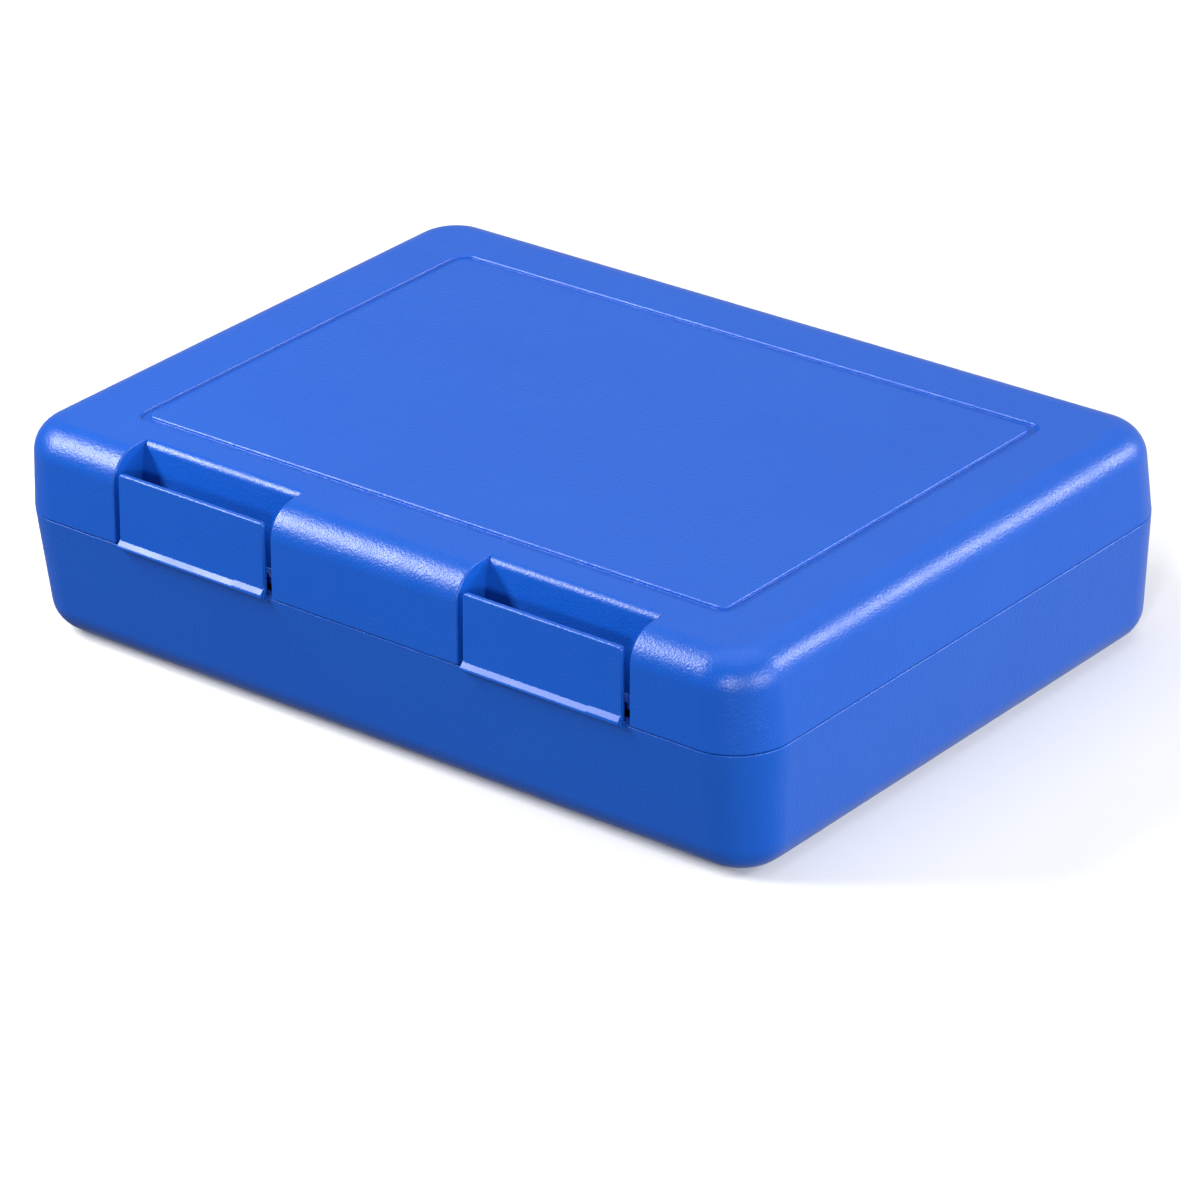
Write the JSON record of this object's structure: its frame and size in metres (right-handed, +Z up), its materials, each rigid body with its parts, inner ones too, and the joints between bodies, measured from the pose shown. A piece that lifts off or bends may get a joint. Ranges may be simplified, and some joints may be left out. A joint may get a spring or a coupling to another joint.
{
  "type": "pencil case",
  "caption": "Hard plastic pencil case: a drafted tray and a hinged lid with rounded edges, a shallow framed field on top, finger recesses and swinging front latches.",
  "frame": {"origin": "middle of the flat underside of the tray", "axes": "+X along the front, towards the right latch as seen from the front; +Y from the latches towards the hinges; +Z up"},
  "size_m": [0.2, 0.1478, 0.0481],
  "materials": {
    "case_plastic": "satin moulded polypropylene with a fine spark-eroded grain",
    "latch_plastic": "satin moulded polypropylene, a little smoother than the case",
    "pin_steel": "drawn steel wire"
  },
  "bodies": {
    "root": {"base_tray": "case_plastic", "left_latch_pin": "pin_steel", "right_latch_pin": "pin_steel", "left_hinge_pin": "pin_steel", "right_hinge_pin": "pin_steel"},
    "lid": {"lid_shell": "case_plastic"},
    "left_latch": {"left_latch": "latch_plastic"},
    "right_latch": {"right_latch": "latch_plastic"}
  },
  "joints": [
    {"name": "lid_hinge", "type": "hinge", "parent": "root", "child": "lid", "pos_m": [0, 0.0734, 0.0285], "axis": [-1, 0, 0], "range_deg": [0, 180]},
    {"name": "left_latch_hinge", "type": "hinge", "parent": "root", "child": "left_latch", "pos_m": [-0.04655, -0.0704, 0.0285], "axis": [1, 0, 0], "range_deg": [0, 90]},
    {"name": "right_latch_hinge", "type": "hinge", "parent": "root", "child": "right_latch", "pos_m": [0.04825, -0.0704, 0.0285], "axis": [1, 0, 0], "range_deg": [0, 90]}
  ]
}
